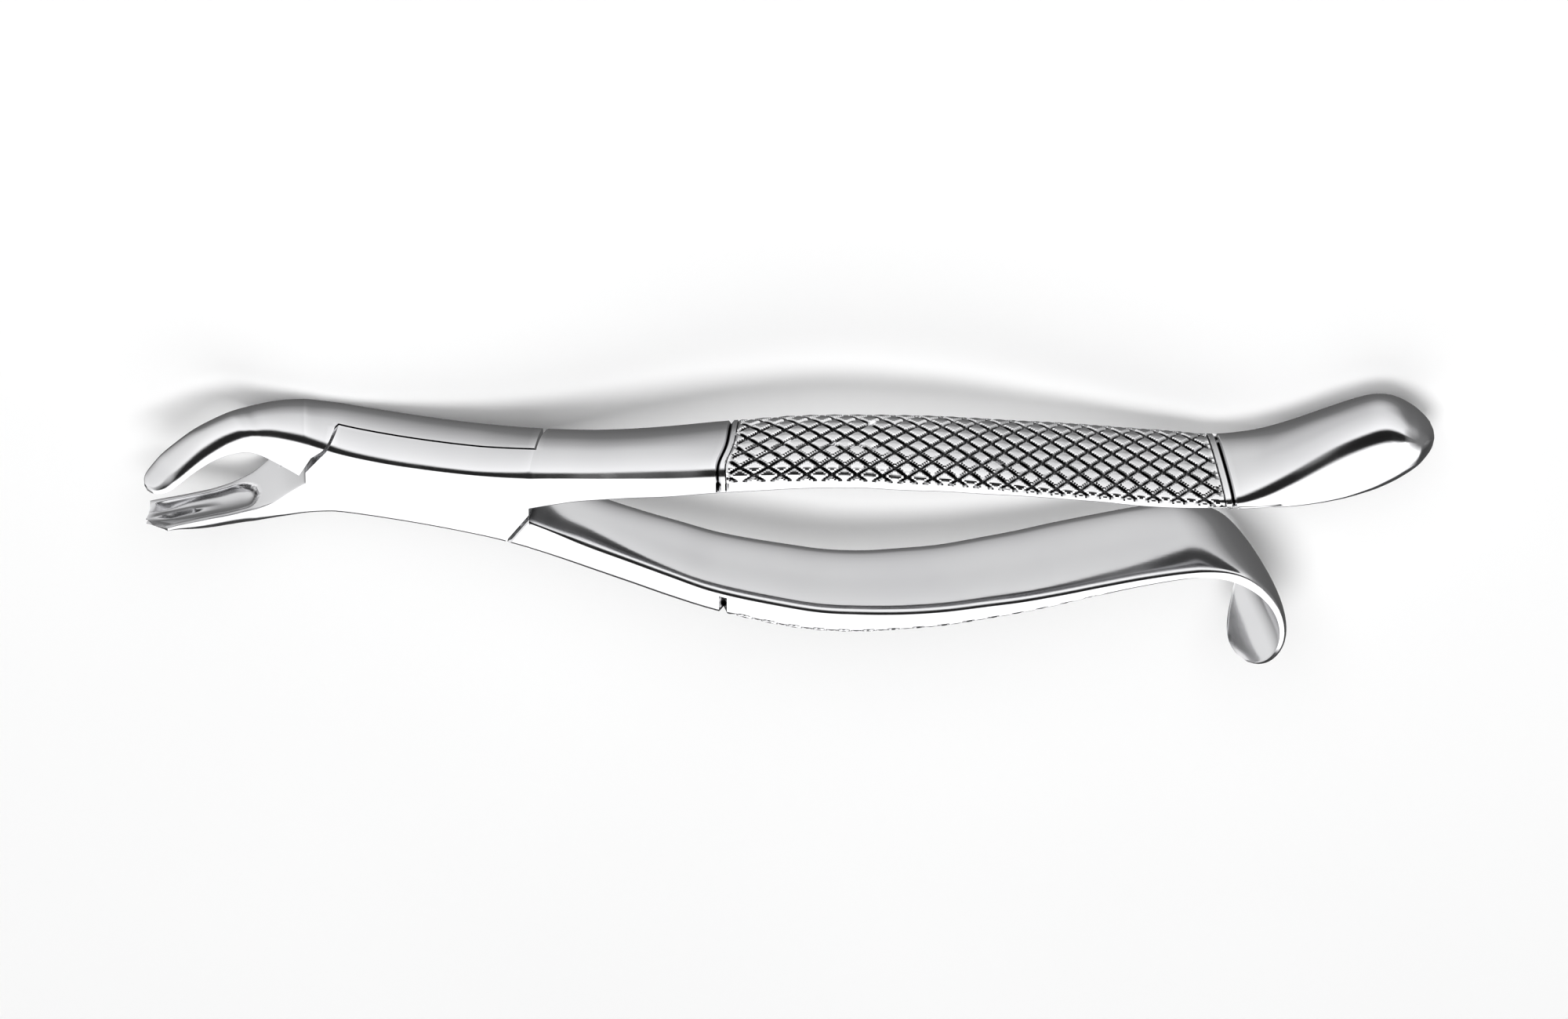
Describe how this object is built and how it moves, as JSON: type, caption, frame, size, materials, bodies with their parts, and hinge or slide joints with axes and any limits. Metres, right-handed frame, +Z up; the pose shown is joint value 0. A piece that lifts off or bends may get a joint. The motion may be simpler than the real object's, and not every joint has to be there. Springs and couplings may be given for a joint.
{
  "type": "extraction forceps",
  "caption": "Upper molar tooth extraction forceps: curved beaks, one plain and one cusped, a screwed lap joint, knurled bowed handles, one ending in a palm bulb and one in a finger hook",
  "frame": {"origin": "On the table under the middle of the instrument, which lies as it rests naturally: on the neck behind its beaks and on the palm end.", "axes": "+X runs from the beaks to the handle ends, +Z is up and the beak tips point up it, and +Y is towards the palm handle."},
  "size_m": [0.1778, 0.0454, 0.0201],
  "materials": {
    "front_steel": "polished",
    "rear_steel": "polished",
    "screw_steel": "satin"
  },
  "bodies": {
    "front_body": {"front_half": "front_steel", "pivot_screw": "screw_steel"},
    "rear_body": {"rear_half": "rear_steel"}
  },
  "joints": [
    {"name": "forceps_pivot", "type": "hinge", "parent": "front_body", "child": "rear_body", "pos_m": [-0.05173, 0.00523, 0.00673], "axis": [0.1797, 0, -0.9837], "range_deg": [0, 30]}
  ]
}
